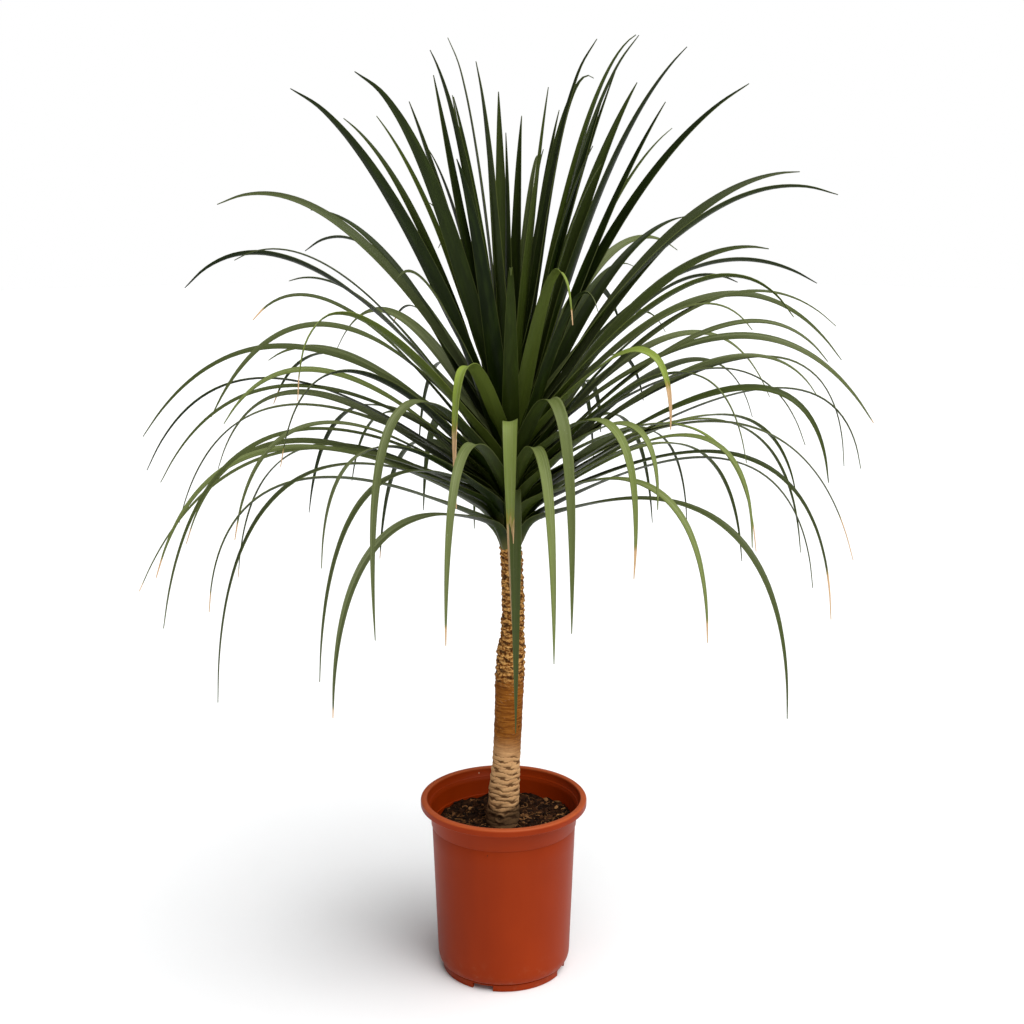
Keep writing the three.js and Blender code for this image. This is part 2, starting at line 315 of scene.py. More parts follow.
def waxy_leaf():
    """Strap leaf: parallel veins, an underside painted near black as shade, an upper side painted lighter
    as lit, thin pale margin and dry tan tip.
    """
    s = Shader("waxy_leaf")
    where = s.stored("blade", "Vector")
    across = s.axis(where, "X")
    lengthwise = s.axis(where, "Y")
    painted_light, tint, dry = s.stored("painted_light"), s.stored("tint"), s.stored("dry")
    veins = s.noise(s.stretch(where, (46, 1.3, 1)), 1, 2)
    broad = s.noise(s.stretch(where, (3, 9, 1)), 1, 3)
    place = s.place()
    # Painted light and shade: the underside colour is near black as painted shade and the upper side
    # lighter grey-green as painted light; a stored share of painted light at each point picks between them.
    shaded_underside = s.blend(veins, rgb(0.0028, 0.0068, 0.0001), rgb(0.0075, 0.0165, 0.0004))
    lit_upper_side = s.blend(veins, rgb(0.078, 0.097, 0.032), rgb(0.168, 0.186, 0.083))
    colour = s.blend(painted_light, shaded_underside, lit_upper_side)
    colour = s.blend(s.between(broad, 0.4, 0.75) * 0.4, colour, rgb(0.03, 0.052, 0.004))
    # The yellow-green tint shows most where the upper side has painted light.
    yellow_green = s.blend(veins, rgb(0.15, 0.22, 0.02), rgb(0.34, 0.42, 0.08))
    colour = s.blend(tint * (0.4 + painted_light * 0.6), colour, yellow_green)
    # Pale lengthwise streaks on the upper side: partly the blade's veins, partly painted sheen, and only as
    # strong as the painted light there.
    streaks = s.between(s.noise(s.stretch(where, (11, 0.8, 1)), 1, 2), 0.5, 0.72)
    colour = s.blend(streaks * painted_light * 0.45, colour, rgb(0.3, 0.33, 0.16))
    margin = s.between(abs(across - 0.5), 0.455, 0.49)
    colour = s.blend(margin * 0.4, colour, rgb(0.13, 0.15, 0.04))
    specks = s.between(s.noise(place, 420, 2), 0.7, 0.75)
    colour = s.blend(specks * painted_light * 0.35, colour, rgb(0.34, 0.36, 0.26))
    tear = s.noise(s.stretch(where, (9, 26, 1)), 1, 3)
    withered = s.between(dry + (tear - 0.5) * 0.7, 0.42, 0.6)
    straw = s.blend(veins, rgb(0.42, 0.2, 0.075), rgb(0.75, 0.55, 0.32))
    rim = s.between(dry + (tear - 0.5) * 0.7, 0.3, 0.42) * (1 - withered)
    colour = s.blend(rim * 0.8, colour, rgb(0.26, 0.2, 0.03))
    colour = s.blend(withered, colour, straw)
    clasp = s.between(lengthwise, 0.05, 0.0)
    colour = s.blend(clasp * 0.6, colour, rgb(0.13, 0.12, 0.03))
    s.set("Base Color", colour)
    s.set("Roughness", 0.36 + veins * 0.14 + withered * 0.35)
    s.set("Normal", s.bump(veins, 0.0003, 0.8))
    s.set("Specular IOR Level", 0.13)
    return s.material


# ---- Pieces ------------------------------------------------------------------------------------


def finish_piece(bm, name, material, slot, *nodes, sharp=None):
    """Turns a bmesh into a piece that rides with the plant and stands for CAD nodes."""
    mesh = bpy.data.meshes.new(name)
    bm.to_mesh(mesh)
    bm.free()
    mesh.shade_smooth()
    if sharp:
        mesh.set_sharp_from_angle(angle=math.radians(sharp))
    mesh.materials.append(material)
    piece = bpy.data.objects.new(name, mesh)
    bpy.context.collection.objects.link(piece)
    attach(piece, "root")
    if nodes:
        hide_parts(*nodes)
    return piece


def arc(centre, radius, start, stop, steps):
    """Points (radius, height) round an arc in the plane of a profile, angles in degrees from outward."""
    turns = [math.radians(start + (stop - start) * i / steps) for i in range(steps + 1)]
    return [(centre[0] + radius * math.cos(a), centre[1] + radius * math.sin(a)) for a in turns]


def spin_profile(bm, profile, steps, closed):
    """A profile of (radius, height) pairs turned once about Z."""
    verts = [bm.verts.new((radius, 0, height)) for radius, height in profile]
    pairs = list(zip(verts, verts[1:] + verts[:1] if closed else verts[1:]))
    edges = [bm.edges.new(pair) for pair in pairs]
    geom = verts + edges
    bmesh.ops.spin(bm, geom=geom, axis=UP, cent=(0, 0, 0), angle=TAU, steps=steps, use_merge=True)
    bmesh.ops.remove_doubles(bm, verts=bm.verts, dist=1e-6)
    bmesh.ops.recalc_face_normals(bm, faces=bm.faces)


# ---- Pot ---------------------------------------------------------------------------------------

POT_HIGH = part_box("pot")[1]
POT = {
    "height": POT_HIGH[2],
    "rim": POT_HIGH[0],
    "rim_inner": 97 * MM,
    "rim_depth": 9.6 * MM,
    "collar": 93 * MM,
    "collar_foot": POT_HIGH[2] - 34 * MM,
    "collar_step": 1.1 * MM,
    "wall_top": 90.8 * MM,
    "wall_foot": 84.6 * MM,
    "wall_foot_height": 25 * MM,
    "foot": 78.5 * MM,
    "foot_height": 10 * MM,
    "foot_width": 5 * MM,
    "wall": 1.9 * MM,
    "floor": 2.4 * MM,
    "notches": 4,
    "notch_width": 27 * MM,
    "first_notch": 250,
    "drain_holes": 8,
    "drain_radius": 5.5 * MM,
    "drain_ring": 56 * MM,
}


def wall_radius(height):
    """Outer radius of the pot below its collar: a straight taper, then a round turn in to the foot."""
    low, high = POT["wall_foot_height"], POT["collar_foot"]
    if height >= low:
        share = (height - low) / (high - low)
        return POT["wall_foot"] + (POT["wall_top"] - POT["wall_foot"]) * share
    drop = min(1, (low - height) / (low - POT["foot_height"]))
    return POT["foot"] + (POT["wall_foot"] - POT["foot"]) * math.sqrt(1 - drop * drop)


def wall_points(low, high, steps, inset):
    heights = [low + (high - low) * i / steps for i in range(steps + 1)]
    return [(wall_radius(height) - inset, height) for height in heights]


def pot_profile():
    """The pot's whole section, from the middle of its floor's underside round to the floor's top."""
    top, rim, foot = POT["height"], POT["rim"], POT["foot"]
    ledge, floor_top = POT["collar_foot"], POT["foot_height"]
    under_rim = top - POT["rim_depth"]
    ring_inner = foot - POT["foot_width"]
    shoulder, lip, line = 3 * MM, 1.2 * MM, 0.7 * MM
    profile = [(0, floor_top - POT["floor"]), (ring_inner - 1 * MM, floor_top - POT["floor"])]
    profile += [(ring_inner, floor_top - POT["floor"] - 1 * MM), (ring_inner, line), (ring_inner + line, 0)]
    profile += [(foot - line, 0), (foot, line), (foot + 0.3 * MM, floor_top - 1.2 * MM)]
    profile += [(foot - 0.5 * MM, floor_top - 0.6 * MM), (foot - 0.4 * MM, floor_top)]
    profile += wall_points(floor_top + 0.05 * MM, POT["wall_foot_height"], 12, 0)
    profile += wall_points(POT["wall_foot_height"], ledge - 2 * MM, 8, 0)[1:]
    profile += [(wall_radius(ledge) - 0.5 * MM, ledge - 1.2 * MM)]
    profile += [(wall_radius(ledge) - 0.4 * MM, ledge - 0.5 * MM)]
    profile += [(wall_radius(ledge) + POT["collar_step"] - 0.3 * MM, ledge)]
    profile += [(wall_radius(ledge) + POT["collar_step"], ledge + 0.5 * MM)]
    profile += [(POT["collar"] - 0.2 * MM, under_rim - 2 * MM)]
    profile += [(POT["collar"] + 0.3 * MM, under_rim - 0.5 * MM)]
    profile += [(POT["collar"] + 1 * MM, under_rim), (rim - 2.4 * MM, under_rim + 0.2 * MM)]
    profile += arc((rim - lip, under_rim + 0.3 * MM + lip), lip, -80, 0, 4)
    profile += arc((rim - shoulder, top - shoulder), shoulder, 0, 90, 7)
    profile += arc((POT["rim_inner"] + 1.6 * MM, top - 1.6 * MM), 1.6 * MM, 90, 180, 5)
    inside = POT["collar"] - POT["wall"]
    profile += [(POT["rim_inner"] - 0.8 * MM, top - 6 * MM), (inside + 2.4 * MM, top - 10.5 * MM)]
    profile += [(inside + 0.8 * MM, top - 13 * MM), (inside, top - 16 * MM)]
    profile += [(inside - 0.5 * MM, ledge + 1 * MM)]
    profile += [(inside - 0.9 * MM, ledge + 0.2 * MM)]
    profile += wall_points(POT["wall_foot_height"], ledge - 0.4 * MM, 6, POT["wall"])[::-1]
    profile += [(foot - 1 * MM, floor_top + 5 * MM), (foot - 4.5 * MM, floor_top), (0, floor_top)]
    return profile


def cut_pot(pot):
    """Water gaps through the foot ring and drain holes through the floor."""
    bm = bmesh.new()
    gap = (POT["foot_width"] * 3, POT["notch_width"], (POT["foot_height"] - POT["floor"]) * 2)
    for i in range(POT["notches"]):
        turn = Matrix.Rotation(math.radians(POT["first_notch"] + i * 360 / POT["notches"]), 4, "Z")
        place = turn @ Matrix.Translation((POT["foot"], 0, 0)) @ Matrix.Diagonal((*gap, 1))
        made = bmesh.ops.create_cube(bm, size=1, matrix=place)
        edges = {edge for vert in made["verts"] for edge in vert.link_edges}
        upright = [e for e in edges if abs((e.verts[0].co - e.verts[1].co).normalized().z) < 0.5]
        bmesh.ops.bevel(
            bm, geom=upright, offset=0.8 * MM, segments=2, profile=0.5, affect="EDGES", material=-1
        )
    for i in range(POT["drain_holes"]):
        bearing = POT["first_notch"] + (i + 0.5) * 360 / POT["drain_holes"]
        turn = Matrix.Rotation(math.radians(bearing), 4, "Z")
        place = turn @ Matrix.Translation((POT["drain_ring"], 0, POT["foot_height"]))
        radius, depth = POT["drain_radius"], POT["floor"] * 5
        bmesh.ops.create_cone(
            bm, cap_ends=True, segments=32, radius1=radius, radius2=radius, depth=depth, matrix=place
        )
    mesh = bpy.data.meshes.new("cutter")
    bm.to_mesh(mesh)
    bm.free()
    cutter = bpy.data.objects.new("cutter", mesh)
    bpy.context.collection.objects.link(cutter)
    cut = pot.modifiers.new("gaps", "BOOLEAN")
    cut.object = cutter
    cut.operation = "DIFFERENCE"
    cut.solver = "EXACT"
    graph = bpy.context.evaluated_depsgraph_get()
    made = bpy.data.meshes.new_from_object(pot.evaluated_get(graph))
    pot.modifiers.clear()
    pot.data = made
    made.shade_smooth()
    made.set_sharp_from_angle(angle=math.radians(38))
    bpy.data.objects.remove(cutter)


def add_pot():
    bm = bmesh.new()
    spin_profile(bm, pot_profile(), 144, closed=False)
    pot = finish_piece(bm, "nursery_pot", terracotta_plastic(), "pot", "pot", sharp=38)
    cut_pot(pot)


# ---- Potting mix -------------------------------------------------------------------------------

SOIL_TOP = 194 * MM


def soil_height(x, y):
    """Height of the mix: lowest at the left front, heaped at the right back, lumpy all over."""
    at = Vector((x, y, 0))
    slope = 0.035 * x + 0.03 * y
    wave = 2.2 * math.sin(x / MM / 17) * math.cos(y / MM / 14) + 1.6 * math.sin((x + 2 * y) / MM / 11)
    lumps = 3.2 * noise.noise(at * 75) + 2.2 * noise.noise(at * 170) + 1.2 * noise.noise(at * 420)
    return SOIL_TOP + slope + (wave * 0.7 + lumps) * MM


def add_potting_mix():
    bm = bmesh.new()
    edge = wall_radius(SOIL_TOP) - POT["wall"] - 0.3 * MM
    bottom = POT["foot_height"] + 0.4 * MM
    rings = 64
    profile = [(0, bottom), (POT["foot"] - 8 * MM, bottom)]
    profile += [(POT["wall_foot"] - 3 * MM, POT["wall_foot_height"])]
    profile += [(edge * i / rings, SOIL_TOP) for i in range(rings, -1, -1)]
    spin_profile(bm, profile, 168, closed=False)
    for vert in bm.verts:
        if vert.co.z > SOIL_TOP - MM:
            vert.co.z = soil_height(vert.co.x, vert.co.y)
    finish_piece(bm, "peat", damp_peat(), "potting_mix", "potting_mix")


def scatter(dice, inner, outer):
    """A random place on the mix between two radii from the pot's axis."""
    radius = math.sqrt(dice.uniform(inner**2, outer**2))
    turn = dice.uniform(0, TAU)
    x, y = radius * math.cos(turn), radius * math.sin(turn)
    return Vector((x, y, soil_height(x, y)))


def add_fibre(bm, tint, dice, reach):
    """One curled coir fibre that lies on the mix."""
    at = scatter(dice, 18 * MM, reach - 4 * MM)
    heading = dice.uniform(0, TAU)
    curl = dice.uniform(-0.5, 0.5)
    step = dice.uniform(1.0, 2.6) * MM
    rise = dice.uniform(0.2, 1.4) * MM
    thick = dice.uniform(0.18, 0.34) * MM
    turn = Matrix.Rotation(heading, 4, "Z") @ Matrix.Rotation(math.pi / 2, 4, "Y")
    place = Matrix.Translation(at) @ turn
    made = bmesh.ops.create_circle(bm, cap_ends=True, segments=4, radius=thick, matrix=place)
    shade = dice.uniform(0.3, 1)
    for vert in made["verts"]:
        vert[tint] = shade
    face = made["verts"][0].link_faces[0]
    steps = 14
    for k in range(steps):
        heading += curl
        ahead = at + Vector((math.cos(heading) * step, math.sin(heading) * step, 0))
        if math.hypot(ahead.x, ahead.y) > reach:
            break
        ahead.z = soil_height(ahead.x, ahead.y) + rise * math.sin((k + 1) / steps * math.pi) + 0.4 * MM
        face = bmesh.ops.extrude_discrete_faces(bm, faces=[face])["faces"][0]
        bmesh.ops.translate(bm, verts=face.verts, vec=ahead - at)
        bmesh.ops.rotate(bm, verts=face.verts, cent=ahead, matrix=Matrix.Rotation(curl, 3, "Z"))
        at = ahead


def add_bark_bit(bm, tint, dice, reach):
    """One chip or crumb, squashed and knocked out of round, half sunk in the mix."""
    size = dice.choice((0.9, 1.3, 1.7, 2.4, 3.4)) * MM
    flat = Matrix.Diagonal((dice.uniform(0.8, 2.0), dice.uniform(0.6, 1.1), dice.uniform(0.3, 0.8), 1))
    spin = Matrix.Rotation(dice.uniform(0, TAU), 4, "Z") @ Matrix.Rotation(dice.uniform(-0.6, 0.6), 4, "X")
    place = Matrix.Translation(scatter(dice, 14 * MM, reach)) @ spin @ flat
    made = bmesh.ops.create_icosphere(bm, subdivisions=1, radius=size, matrix=place)
    # Painted light: bits are paler towards the right and the back, up to straw, and nearly black at the
    # left, standing in for light from the right.
    painted_light_side = smoothstep(place.translation.x + place.translation.y, -60 * MM, 90 * MM)
    shade = dice.random() ** (5 - 3.6 * painted_light_side)
    for vert in made["verts"]:
        vert.co += noise.noise_vector(vert.co * 700) * size * 0.45
        vert[tint] = shade


def add_loose_pieces(name, add_one, count, seed):
    """Many small pieces of one kind, made in handfuls and gathered in one mesh."""
    dice = random.Random(seed)
    reach = wall_radius(SOIL_TOP) - 5 * MM
    whole = bmesh.new()
    whole.verts.layers.float.new("tint")
    handful = 40
    for _ in range(count // handful):
        bm = bmesh.new()
        tint = bm.verts.layers.float.new("tint")
        for _ in range(handful):
            add_one(bm, tint, dice, reach)
        bmesh.ops.recalc_face_normals(bm, faces=bm.faces)
        mesh = bpy.data.meshes.new("handful")
        bm.to_mesh(mesh)
        bm.free()
        whole.from_mesh(mesh)
        bpy.data.meshes.remove(mesh)
    finish_piece(whole, name, bark_and_coir(), "potting_mix", sharp=50)


# ---- Trunk -------------------------------------------------------------------------------------

# Heights where the bark changes: stained by the mix, then pale and ringed, then smooth, then scaly.
STAIN_TOP = 214 * MM
PALE_TOP = 285 * MM
SCALES_FROM = 365 * MM
SCARS = {
    "pitch": 1.75 * MM,
    "turn": math.radians(137.5),
    "half_turn": math.radians(62),
    "half_height": 2.7 * MM,
}
KNOTS = [
    # bearing in degrees, height, radius, depth
    (258, 208 * MM, 4.2 * MM, 2.6 * MM),
    (318, 327 * MM, 2.4 * MM, 1.4 * MM),
    (95, 268 * MM, 3.0 * MM, 1.8 * MM),
]


def trunk_sections():
    """Height, middle and radius of the CAD trunk at each of its rings."""
    rings = {}
    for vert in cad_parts["trunk"].data.vertices:
        rings.setdefault(round(vert.co.z, 5), set()).add((round(vert.co.x, 6), round(vert.co.y, 6)))
    table = []
    for height, points in sorted(rings.items()):
        xs = [x for x, _ in points]
        table.append((height, (max(xs) + min(xs)) / 2, (max(xs) - min(xs)) / 2))
    return np.array(table)


TRUNK = trunk_sections()


def trunk_middle(height):
    return Vector((float(np.interp(height, TRUNK[:, 0], TRUNK[:, 1])), 0, height))


def scar_relief(theta, height):
    """0 in the creases between leaf scars to 1 on their swollen middles, for arrays of places."""
    relief = np.zeros_like(theta)
    nearest = np.round(height / SCARS["pitch"]).astype(int)
    for shift in range(-3, 4):
        k = nearest + shift
        gap = np.mod(theta - k * SCARS["turn"] + math.pi, TAU) - math.pi
        rise = height - k * SCARS["pitch"]
        dome = 1 - (gap / SCARS["half_turn"]) ** 2 - (rise / SCARS["half_height"]) ** 2
        relief = np.maximum(relief, np.sqrt(np.clip(dome, 0, 1)))
    return relief


def add_trunk():
    bm = bmesh.new()
    around, rows = 168, 520
    low, high = 150 * MM, float(TRUNK[-1, 0]) - 4 * MM
    bmesh.ops.create_grid(bm, x_segments=around, y_segments=rows, size=1)
    crease = bm.verts.layers.float.new("crease")
    knot_shade_layer = bm.verts.layers.float.new("knot_shade")
    verts = list(bm.verts)
    flat = np.array([vert.co for vert in verts])
    theta = (flat[:, 0] + 1) * math.pi
    # Rows are close together on the bare trunk and far apart inside the crown.
    share = (flat[:, 1] + 1) / 2
    height = low + (high - low) * share**1.25
    middle = np.interp(height, TRUNK[:, 0], TRUNK[:, 1])
    radius = np.interp(height, TRUNK[:, 0], TRUNK[:, 2])
    spots = [Vector((math.cos(t) * 0.018, math.sin(t) * 0.018, h)) for t, h in zip(theta, height)]
    sway = np.array([noise.noise(p * 60) for p in spots])
    fine = np.array([noise.noise(p * 240) for p in spots])
    rough = np.array([noise.noise(Vector((p.x, p.y, p.z * 1.5)) * 520) for p in spots])
    relief = scar_relief(theta, height + sway * 3 * MM + fine * 1.1 * MM)
    scaly = np.clip((height - SCALES_FROM) / (30 * MM), 0, 1)
    plain = np.clip((height - PALE_TOP) / (15 * MM), 0, 1) * (1 - scaly)
    buried = np.clip((STAIN_TOP - height) / (10 * MM), 0, 1)
    swell = (relief - 0.6) * (1.3 - 0.9 * plain - 0.7 * buried + 0.5 * scaly)
    lumps = sway * 1.1 + fine * (0.35 + 1.0 * scaly) + rough * (0.2 + 0.75 * scaly)
    lift = (swell + lumps) * MM
    knot_shade_marks = np.zeros_like(lift)
    for bearing, at, size, depth in KNOTS:
        gap = np.mod(theta - math.radians(bearing) + math.pi, TAU) - math.pi
        away = np.hypot(gap * radius, height - at) / size
        hollow = np.exp(-(away**2) * 1.6)
        collar = np.exp(-((away - 1.25) ** 2) * 7)
        lift += collar * depth * 0.5 - hollow * depth
        # The middle of each knot hollow is marked for painted shade.
        knot_shade_marks = np.maximum(knot_shade_marks, np.clip(hollow * 1.5 - 0.35, 0, 1) * (away > 0.3))
    reach = radius + lift
    for i, vert in enumerate(verts):
        vert.co = (middle[i] + reach[i] * math.cos(theta[i]), reach[i] * math.sin(theta[i]), height[i])
        # Painted shade: the crease value is high between leaf scars, where the bark is painted darker.
        depth = (1 - relief[i]) * (1 - 0.6 * plain[i]) + 0.3 * scaly[i] * (0.4 - rough[i])
        vert[crease] = float(np.clip(depth, 0, 1))
        vert[knot_shade_layer] = float(knot_shade_marks[i])
    bmesh.ops.remove_doubles(bm, verts=bm.verts, dist=2e-6)
    bmesh.ops.holes_fill(bm, edges=[edge for edge in bm.edges if edge.is_boundary], sides=0)
    bmesh.ops.recalc_face_normals(bm, faces=bm.faces)
    finish_piece(bm, "trunk_bark", ringed_bark(), "trunk", "trunk")


# ---- Leaves ------------------------------------------------------------------------------------

LEAF = {
    "rows": 54,
    "columns": 6,
    "half_width": 9.8 * MM,
    "thickness": 0.8 * MM,
    "sheath": 30 * MM,
    "sheath_lean": 14,
    "stand_off": 1.2 * MM,
}


def half_width(t, straight):
    """Half width of a blade at a share t of its length. Straight young blades stay wide for longer."""
    base = 0.9 + 0.1 * smoothstep(t, 0.05, 0.2)
    taper = 1 - (0.5 - 0.32 * straight) * t
    return LEAF["half_width"] * base * taper * (1 - t**3) ** 0.95 + 0.2 * MM


def cad_spine(node):
    """Midrib points of a CAD blade, found ring by ring from the trunk, and its width direction there."""
    bm = bmesh.new()
    bm.from_mesh(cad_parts[node].data)
    bmesh.ops.remove_doubles(bm, verts=bm.verts, dist=1e-6)
    poles = [vert for vert in bm.verts if len(vert.link_edges) == 4]
    poles.sort(key=lambda vert: (vert.co - vert.link_edges[0].other_vert(vert).co).length)
    tip, base = poles[0], poles[-1]
    spine, seen, ring, across = [], {base}, [base], None
    while True:
        ring = list({e.other_vert(v) for v in ring for e in v.link_edges} - seen)
        if not ring or tip in ring:
            break
        seen.update(ring)
        pairs = [(a, b) for i, a in enumerate(ring) for b in ring[i + 1 :]]
        edges = max(pairs, key=lambda pair: (pair[0].co - pair[1].co).length)
        rib = [v.co for v in ring if v not in edges]
        if across is None:
            across = (edges[0].co - edges[1].co).normalized()
        spine.append(sum(rib, Vector()) / len(rib))
    bm.free()
    outward = Vector((spine[0].x - trunk_middle(spine[0].z).x, spine[0].y, 0))
    if across.dot(UP.cross(outward)) < 0:
        across = -across
    return spine, across


def arched_spine(bearing, lean, hang, reach, tip_height, base_height):
    """Midrib points of a blade that isn't in the CAD: sheath, elbow, then one long arch."""
    turn = math.radians(bearing)
    outward = Vector((math.cos(turn), math.sin(turn), 0))
    middle = trunk_middle(base_height)
    start = float(np.interp(base_height, TRUNK[:, 0], TRUNK[:, 2])) + LEAF["stand_off"]

    def slant(angle):
        return outward * math.sin(math.radians(angle)) + UP * math.cos(math.radians(angle))

    base = middle + outward * start
    elbow = base + slant(min(lean, LEAF["sheath_lean"])) * LEAF["sheath"]
    shoulder = elbow + slant(lean) * LEAF["sheath"]
    run = hang * (reach - (shoulder - middle).dot(outward))
    crest = shoulder + slant(lean) * run / math.sin(math.radians(lean))
    tip = middle + outward * reach
    tip.z = tip_height

    def bend(a, b, c, steps):
        shares = [i / steps for i in range(steps)]
        return [a * (1 - t) ** 2 + b * (2 * t * (1 - t)) + c * t**2 for t in shares]

    return bend(base, elbow, shoulder, 4) + bend(shoulder, crest, tip, 14) + [tip], UP.cross(outward)


def sampled(spine, count):
    """Points at even distances along a smooth curve through the spine's points."""
    ends = [spine[0] * 2 - spine[1]] + spine + [spine[-1] * 2 - spine[-2]]
    dense = []
    for a, b, c, d in zip(ends, ends[1:], ends[2:], ends[3:]):
        for i in range(8):
            t = i / 8
            curve = b * 2 + (c - a) * t + (a * 2 - b * 5 + c * 4 - d) * t**2
            dense.append((curve + (b * 3 - a - c * 3 + d) * t**3) / 2)
    dense.append(spine[-1])
    points = np.array(dense)
    lengths = np.concatenate(([0], np.cumsum(np.linalg.norm(np.diff(points, axis=0), axis=1))))
    wanted = np.linspace(0, lengths[-1], count)
    return [Vector([float(np.interp(w, lengths, points[:, k])) for k in range(3)]) for w in wanted]


def add_leaf(name, spine, across, dice, material, *nodes, tint, dry, width, twist, sway=0.0):
    """One blade: a fine grid laid along its spine, channelled, twisted and given its thickness."""
    rows, columns = LEAF["rows"], LEAF["columns"]
    points = sampled(spine, rows + 1)
    length = sum((b - a).length for a, b in zip(points, points[1:]))
    bm = bmesh.new()
    bmesh.ops.create_grid(bm, x_segments=columns, y_segments=rows, size=1)
    where = bm.verts.layers.float_vector.new("blade")
    painted_light = bm.verts.layers.float.new("painted_light")
    tinted = bm.verts.layers.float.new("tint")
    dried = bm.verts.layers.float.new("dry")
    ripple, phase = dice.uniform(0.2, 0.7) * MM, dice.uniform(0, TAU)
    patch = dice.uniform(0, 50)
    # Painted light and shade: each blade gets a random strength of painted light on its upper side, full
    # strength on tinted blades.
    shade = 1 if tint > 0.25 else dice.uniform(0.08, 1.05)
    straight = smoothstep((points[-1] - points[0]).length / length, 0.9, 0.985)
    stations = []
    for k in range(rows + 1):
        t = k / rows
        tangent = (points[min(rows, k + 1)] - points[max(0, k - 1)]).normalized()
        side = (across - tangent * across.dot(tangent)).normalized()
        turned = math.radians(twist) * smoothstep(t, 0.15 - 0.12 * straight, 1 - 0.55 * straight)
        side = Matrix.Rotation(turned, 3, tangent) @ side
        channel = 0.85 - 0.6 * smoothstep(t, 0, 0.3) + 0.12 * smoothstep(t, 0.6, 1)
        wave = ripple * math.sin(t * 19 + phase) * (1 - t)
        withered = smoothstep(t, 1 - dry * 1.6, 1 - dry * 0.4) if dry else 0
        half = half_width(t, straight) * width
        stations.append((side, tangent.cross(side), half, channel, wave, withered))
    for vert in bm.verts:
        u, t = vert.co.x, (vert.co.y + 1) / 2
        k = round(t * rows)
        side, face, half, channel, wave, withered = stations[k]
        edge = abs(u) ** 1.4 * half * channel
        vert.co = points[k] + side * (u * half + sway * length * t * t) + face * (edge + wave * u * abs(u))
        vert[where] = ((u + 1) / 2, t, patch)
        vert[tinted] = tint
        vert[dried] = withered
    bmesh.ops.recalc_face_normals(bm, faces=bm.faces)
    bm.faces.ensure_lookup_table()
    middle = bm.faces[len(bm.faces) // 2]
    k = round(middle.verts[0][where][1] * rows)
    if middle.normal.dot(stations[k][1]) < 0:
        bmesh.ops.reverse_faces(bm, faces=bm.faces)
    # Painted shade: straight upright blades keep only a small share of that painted light, so their upper
    # side is dark as well.
    for vert in bm.verts:
        vert[painted_light] = shade * (1 - 0.94 * straight)
    first = set(bm.verts)
    bmesh.ops.solidify(bm, geom=bm.faces, thickness=LEAF["thickness"])
    # The underside made by solidify gets no painted light, so it takes the painted-shade colour.
    for vert in bm.verts:
        if vert not in first:
            vert[painted_light] = 0
    bmesh.ops.recalc_face_normals(bm, faces=bm.faces)
    finish_piece(bm, name, material, "leaves", *nodes, sharp=60)


CROWN_LOW, CROWN_HIGH = 0.556, 0.700

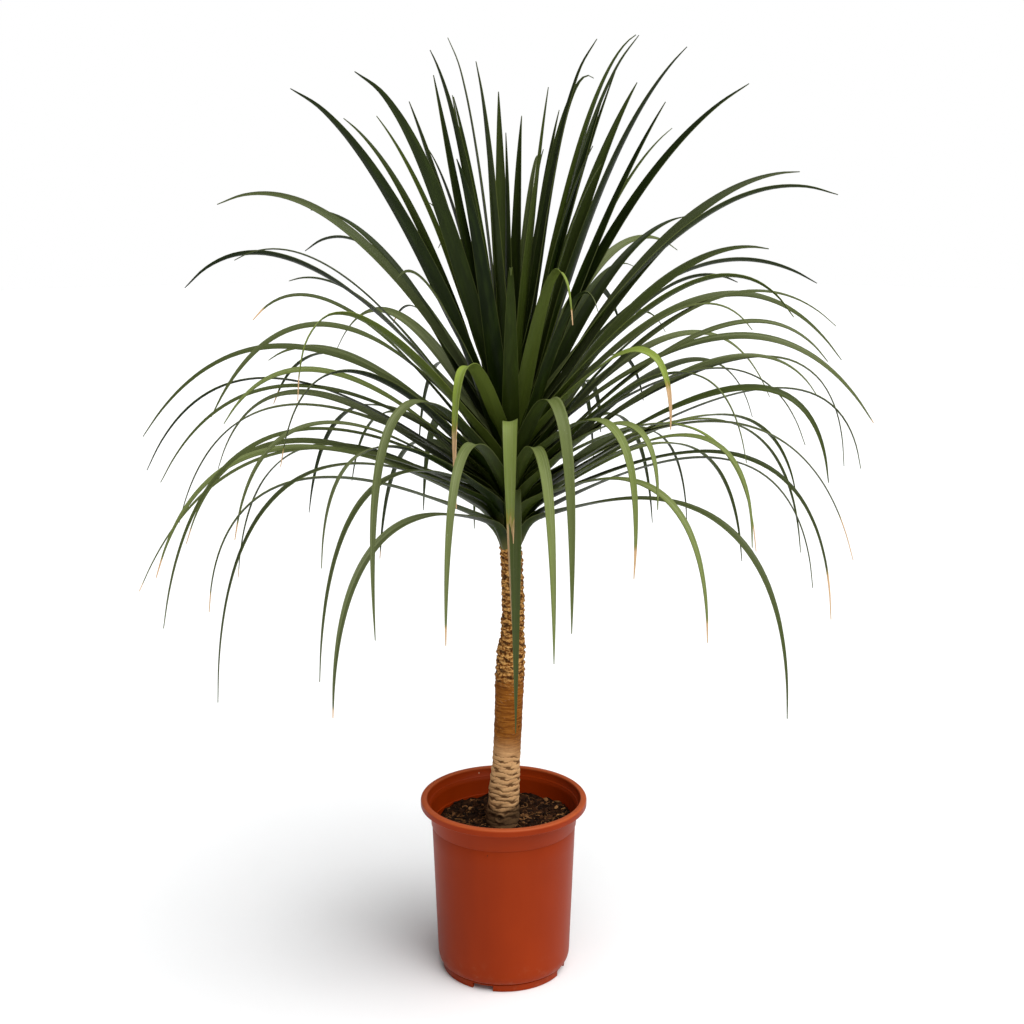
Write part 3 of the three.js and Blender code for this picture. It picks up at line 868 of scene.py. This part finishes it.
# Blades that are not in the CAD, from the oldest to the youngest:
# bearing in degrees, lean in degrees, hang, reach and tip height in millimetres.
MORE_LEAVES = [
    (213, 62, 0.94, 395, 540),
    (75, 60, 0.9, 330, 505),
    (100, 62, 0.9, 330, 500),
    (330, 58, 0.92, 385, 560),
    (170, 60, 0.8, 415, 540),
    (45, 60, 0.9, 350, 520),
    (112, 56, 0.9, 330, 530),
    (200, 58, 0.8, 430, 560),
    (20, 58, 0.85, 395, 590),
    (127, 58, 0.85, 350, 580),
    (320, 54, 1.0, 335, 610),
    (88, 54, 0.85, 330, 590),
    (233, 54, 0.95, 330, 600),
    (160, 54, 0.8, 400, 620),
    (350, 54, 0.9, 415, 668),
    (66, 54, 0.85, 340, 640),
    (208, 52, 0.85, 355, 610),
    (338, 52, 0.95, 375, 665),
    (104, 52, 0.85, 330, 660),
    (305, 50, 0.95, 290, 660),
    (185, 50, 0.75, 425, 660),
    (30, 50, 0.8, 370, 680),
    (57, 48, 0.8, 330, 690),
    (148, 48, 0.75, 370, 700),
    (2, 48, 0.75, 370, 738),
    (195, 44, 0.7, 340, 725),
    (80, 46, 0.75, 320, 740),
    (323, 44, 0.85, 320, 700),
    (220, 44, 0.85, 325, 700),
    (50, 42, 0.7, 330, 780),
    (174, 42, 0.65, 295, 785),
    (352, 42, 0.7, 370, 790),
    (122, 40, 0.7, 310, 800),
    (269, 30, 1.0, 128, 500),
    (90, 40, 0.7, 300, 800),
    (8, 38, 0.6, 400, 820),
    (205, 36, 0.7, 315, 850),
    (155, 36, 0.6, 310, 870),
    (335, 36, 0.7, 300, 840),
    (22, 34, 0.6, 300, 862),
    (95, 34, 0.65, 270, 860),
    (178, 32, 0.6, 330, 905),
    (55, 32, 0.6, 270, 880),
    (300, 28, 0.8, 190, 860),
    (348, 30, 0.55, 300, 930),
    (150, 28, 0.55, 285, 955),
    (8, 27, 0.5, 345, 1009),
    (35, 26, 0.5, 260, 950),
    (230, 26, 0.7, 200, 900),
    (118, 24, 0.55, 220, 960),
    (270, 20, 0.7, 150, 900),
    (30, 20, 0.5, 230, 1054),
    (345, 18, 0.5, 182, 1081),
    (175, 17, 0.5, 200, 1060),
    (70, 16, 0.5, 150, 1010),
    (5, 14, 0.45, 205, 1142),
    (315, 14, 0.5, 140, 1020),
    (240, 12, 0.5, 119, 1022),
    (100, 13, 0.5, 130, 1070),
    (150, 11, 0.5, 112, 1028),
    (335, 10, 0.5, 102, 1035),
    (0, 9, 0.5, 142, 1158),
    (50, 9, 0.5, 95, 1075),
    (290, 9, 0.5, 95, 1030),
    (210, 7, 0.5, 97, 1140),
    (172, 13, 0.5, 122, 1082),
    (10, 14, 0.5, 150, 1105),
    (192, 11, 0.5, 92, 1112),
    (345, 11, 0.5, 98, 1085),
    (182, 15, 0.5, 150, 1070),
    (0, 12, 0.5, 118, 1120),
    (200, 9, 0.5, 72, 1090),
    (30, 7, 0.5, 112, 1112),
    (180, 6, 0.5, 60, 1090),
    (75, 5, 0.5, 55, 1068),
    (260, 5, 0.5, 45, 1050),
    (350, 4, 0.5, 40, 1100),
    (120, 4, 0.5, 35, 1095),
]

# What sets some blades apart: tint from dark to yellow-green, and the share that has dried.
TINTS = {
    "inner_blade_34": 0.45,
    "leaf_39": 0.95, "leaf_36": 0.9, "leaf_44": 0.7, "leaf_32": 0.75, "leaf_26": 0.35, "leaf_10": 0.3,
    "leaf_22": 0.6, "leaf_29": 0.2, "leaf_20": 0.3, "leaf_14": 0.3, "leaf_05": 0.35, "leaf_41": 0.45,
}
DRY = {
    "inner_blade_34": 0.3,
    "leaf_39": 0.24, "leaf_36": 0.13, "leaf_26": 0.08, "leaf_44": 0.05, "leaf_32": 0.05, "leaf_10": 0.05,
    "leaf_18": 0.1, "leaf_08": 0.1, "leaf_22": 0.06, "leaf_17": 0.04,
}


def add_leaves():
    material = waxy_leaf()
    nodes = sorted(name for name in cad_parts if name.startswith("leaf_"))
    for i, node in enumerate(nodes):
        dice = random.Random(100 + i)
        spine, across = cad_spine(node)
        tint = TINTS.get(node, dice.uniform(0, 0.16))
        young = smoothstep(i, 22, 36)
        dry = DRY.get(node, dice.choice((0, 0, 0, 0.02)) * (1 - young))
        twist = dice.choice((-1, 1)) * (dice.uniform(0, 22) + 36 * young)
        width = 0.92 + 0.24 * young
        name = node.replace("leaf", "blade")
        add_leaf(
            name, spine, across, dice, material, node,
            tint=tint, dry=dry, width=width, twist=twist,
        )
    last = len(MORE_LEAVES) - 1
    for i, (bearing, lean, hang, reach, height) in enumerate(MORE_LEAVES):
        dice = random.Random(500 + i)
        base = CROWN_LOW + (CROWN_HIGH - CROWN_LOW) * i / last
        spine, across = arched_spine(bearing, lean, hang, reach * MM, height * MM, base)
        name = f"inner_blade_{i + 1:02d}"
        tint = TINTS.get(name, dice.choice((0.0, 0.05, 0.1, 0.2, 0.35)))
        dry = DRY.get(name, dice.choice((0, 0, 0, 0, 0.04)) if i < last / 2 else 0)
        sway = dice.uniform(-0.03, 0.03)
        twist = dice.choice((-1, 1)) * dice.uniform(10, 55)
        width = dice.uniform(0.92, 1.2)
        add_leaf(
            name, spine, across, dice, material,
            tint=tint, dry=dry, width=width, twist=twist, sway=sway,
        )


# ---- The whole plant ---------------------------------------------------------------------------

bpy.context.scene.view_settings.view_transform = "Standard"
add_camera()
add_room()
add_pot()
add_potting_mix()
add_loose_pieces("bark_bits", add_bark_bit, 1400, 11)
add_loose_pieces("coir_fibres", add_fibre, 280, 12)
add_trunk()
add_leaves()
